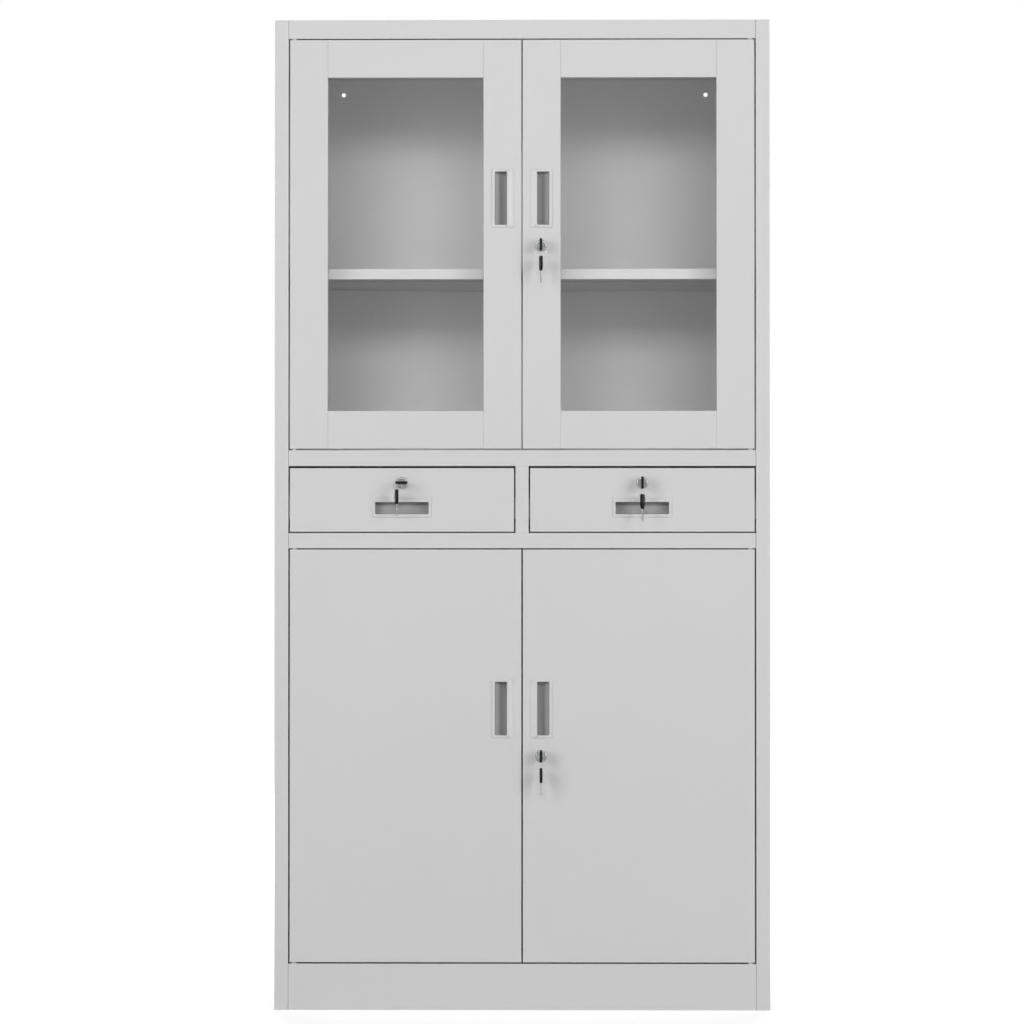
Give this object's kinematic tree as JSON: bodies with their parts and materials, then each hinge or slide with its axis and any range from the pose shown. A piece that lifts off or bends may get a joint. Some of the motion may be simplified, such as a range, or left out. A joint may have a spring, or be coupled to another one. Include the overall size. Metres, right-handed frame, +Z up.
{
  "type": "metal office cabinet",
  "caption": "Tall sheet-steel office cabinet with glazed doors above, a pair of shallow drawers in the middle and plain doors below, with cam locks, keys and recessed pulls.",
  "frame": {"origin": "on the floor, at the middle of the cabinet's footprint", "axes": "+X to the viewer's right, +Y from the front to the back, +Z up"},
  "size_m": [0.9, 0.4378, 1.8],
  "materials": {
    "light_grey_paint": "smooth semi-matt powder coat",
    "clear_glass": "clear float glass",
    "grey_plastic": "fine satin",
    "zinc_steel": "bright zinc plate",
    "chrome_lock": "polished",
    "black_plastic": "satin black",
    "white_nylon": "natural nylon"
  },
  "bodies": {
    "case": {"side_panel_left": "light_grey_paint", "side_panel_right": "light_grey_paint", "top_panel": "light_grey_paint", "back_panel": "light_grey_paint", "base_panel": "light_grey_paint", "lower_deck": "light_grey_paint", "upper_deck": "light_grey_paint", "centre_post": "light_grey_paint", "shelf_uprights": "light_grey_paint", "shelf_clips": "zinc_steel", "lower_shelf": "light_grey_paint", "upper_shelf": "light_grey_paint", "hinge_bushes": "white_nylon", "runner_brackets": "light_grey_paint", "cabinet_runners": "zinc_steel"},
    "upper_left_door": {"upper_left_door_frame": "light_grey_paint", "upper_left_glass": "clear_glass", "upper_left_glass_retainers": "light_grey_paint", "upper_left_pivot_pins": "zinc_steel", "upper_left_pull": "grey_plastic"},
    "upper_right_door": {"upper_right_door_frame": "light_grey_paint", "upper_right_glass": "clear_glass", "upper_right_glass_retainers": "light_grey_paint", "upper_right_pivot_pins": "zinc_steel", "upper_right_pull": "grey_plastic", "upper_door_lock_housing": "chrome_lock"},
    "lower_left_door": {"lower_left_door_skin": "light_grey_paint", "lower_left_stiffener": "light_grey_paint", "lower_left_pivot_pins": "zinc_steel", "lower_left_pull": "grey_plastic"},
    "lower_right_door": {"lower_right_door_skin": "light_grey_paint", "lower_right_stiffener": "light_grey_paint", "lower_right_pivot_pins": "zinc_steel", "lower_right_pull": "grey_plastic", "lower_door_lock_housing": "chrome_lock"},
    "left_drawer": {"left_drawer_front": "light_grey_paint", "left_drawer_box": "light_grey_paint", "left_drawer_runners": "zinc_steel", "left_drawer_pull": "grey_plastic", "left_drawer_lock_housing": "chrome_lock"},
    "right_drawer": {"right_drawer_front": "light_grey_paint", "right_drawer_box": "light_grey_paint", "right_drawer_runners": "zinc_steel", "right_drawer_pull": "grey_plastic", "right_drawer_lock_housing": "chrome_lock"},
    "upper_door_lock": {"upper_door_lock_cylinder": "chrome_lock", "upper_door_key": "black_plastic"},
    "upper_door_spare": {"upper_door_spare_key": "black_plastic"},
    "lower_door_lock": {"lower_door_lock_cylinder": "chrome_lock", "lower_door_key": "black_plastic"},
    "lower_door_spare": {"lower_door_spare_key": "black_plastic"},
    "left_drawer_lock": {"left_drawer_lock_cylinder": "chrome_lock", "left_drawer_key": "black_plastic"},
    "left_drawer_spare": {"left_drawer_spare_key": "black_plastic"},
    "right_drawer_lock": {"right_drawer_lock_cylinder": "chrome_lock", "right_drawer_key": "black_plastic"},
    "right_drawer_spare": {"right_drawer_spare_key": "black_plastic"},
    "upper_left_bolt_rod": {"upper_left_bolt": "zinc_steel"},
    "lower_left_bolt_rod": {"lower_left_bolt": "zinc_steel"}
  },
  "joints": [
    {"name": "upper_left_door_hinge", "type": "hinge", "parent": "case", "child": "upper_left_door", "pos_m": [-0.4145, -0.195, 1.475], "axis": [0, 0, -1], "range_deg": [0, 110]},
    {"name": "upper_right_door_hinge", "type": "hinge", "parent": "case", "child": "upper_right_door", "pos_m": [0.4145, -0.195, 1.475], "axis": [0, 0, 1], "range_deg": [0, 110]},
    {"name": "lower_left_door_hinge", "type": "hinge", "parent": "case", "child": "lower_left_door", "pos_m": [-0.4145, -0.195, 0.547], "axis": [0, 0, -1], "range_deg": [0, 110]},
    {"name": "lower_right_door_hinge", "type": "hinge", "parent": "case", "child": "lower_right_door", "pos_m": [0.4145, -0.195, 0.547], "axis": [0, 0, 1], "range_deg": [0, 110]},
    {"name": "left_drawer_slide", "type": "slide", "parent": "case", "child": "left_drawer", "axis": [0, -1, 0], "range_m": [0, 0.26]},
    {"name": "right_drawer_slide", "type": "slide", "parent": "case", "child": "right_drawer", "axis": [0, -1, 0], "range_m": [0, 0.26]},
    {"name": "upper_door_lock_turn", "type": "hinge", "parent": "upper_right_door", "child": "upper_door_lock", "pos_m": [0.0345, -0.2, 1.389], "axis": [0, 1, 0], "range_deg": [0, 90]},
    {"name": "upper_door_spare_hang", "type": "hinge", "parent": "upper_door_lock", "child": "upper_door_spare", "pos_m": [0.0345, -0.2268, 1.38025], "axis": [0, 1, 0], "range_deg": [-90, 0]},
    {"name": "lower_door_lock_turn", "type": "hinge", "parent": "lower_right_door", "child": "lower_door_lock", "pos_m": [0.0345, -0.2, 0.461], "axis": [0, 1, 0], "range_deg": [0, 90]},
    {"name": "lower_door_spare_hang", "type": "hinge", "parent": "lower_door_lock", "child": "lower_door_spare", "pos_m": [0.0345, -0.2268, 0.45225], "axis": [0, 1, 0], "range_deg": [-90, 0]},
    {"name": "left_drawer_lock_turn", "type": "hinge", "parent": "left_drawer", "child": "left_drawer_lock", "pos_m": [-0.2185, -0.2, 0.957], "axis": [0, 1, 0], "range_deg": [-90, 0]},
    {"name": "left_drawer_spare_hang", "type": "hinge", "parent": "left_drawer_lock", "child": "left_drawer_spare", "pos_m": [-0.22725, -0.2268, 0.957], "axis": [0, 1, 0], "range_deg": [0, 90]},
    {"name": "right_drawer_lock_turn", "type": "hinge", "parent": "right_drawer", "child": "right_drawer_lock", "pos_m": [0.2185, -0.2, 0.957], "axis": [0, 1, 0], "range_deg": [0, 90]},
    {"name": "right_drawer_spare_hang", "type": "hinge", "parent": "right_drawer_lock", "child": "right_drawer_spare", "pos_m": [0.2185, -0.2268, 0.94825], "axis": [0, 1, 0], "range_deg": [-90, 0]},
    {"name": "upper_left_bolt_slide", "type": "slide", "parent": "upper_left_door", "child": "upper_left_bolt_rod", "axis": [0, 0, 1], "range_m": [0, 0.012]},
    {"name": "lower_left_bolt_slide", "type": "slide", "parent": "lower_left_door", "child": "lower_left_bolt_rod", "axis": [0, 0, 1], "range_m": [0, 0.012]}
  ],
  "couplings": [
    {"joint": "upper_door_spare_hang", "follows": "upper_door_lock_turn", "ratio": -1},
    {"joint": "lower_door_spare_hang", "follows": "lower_door_lock_turn", "ratio": -1},
    {"joint": "left_drawer_spare_hang", "follows": "left_drawer_lock_turn", "ratio": -1},
    {"joint": "right_drawer_spare_hang", "follows": "right_drawer_lock_turn", "ratio": -1}
  ]
}
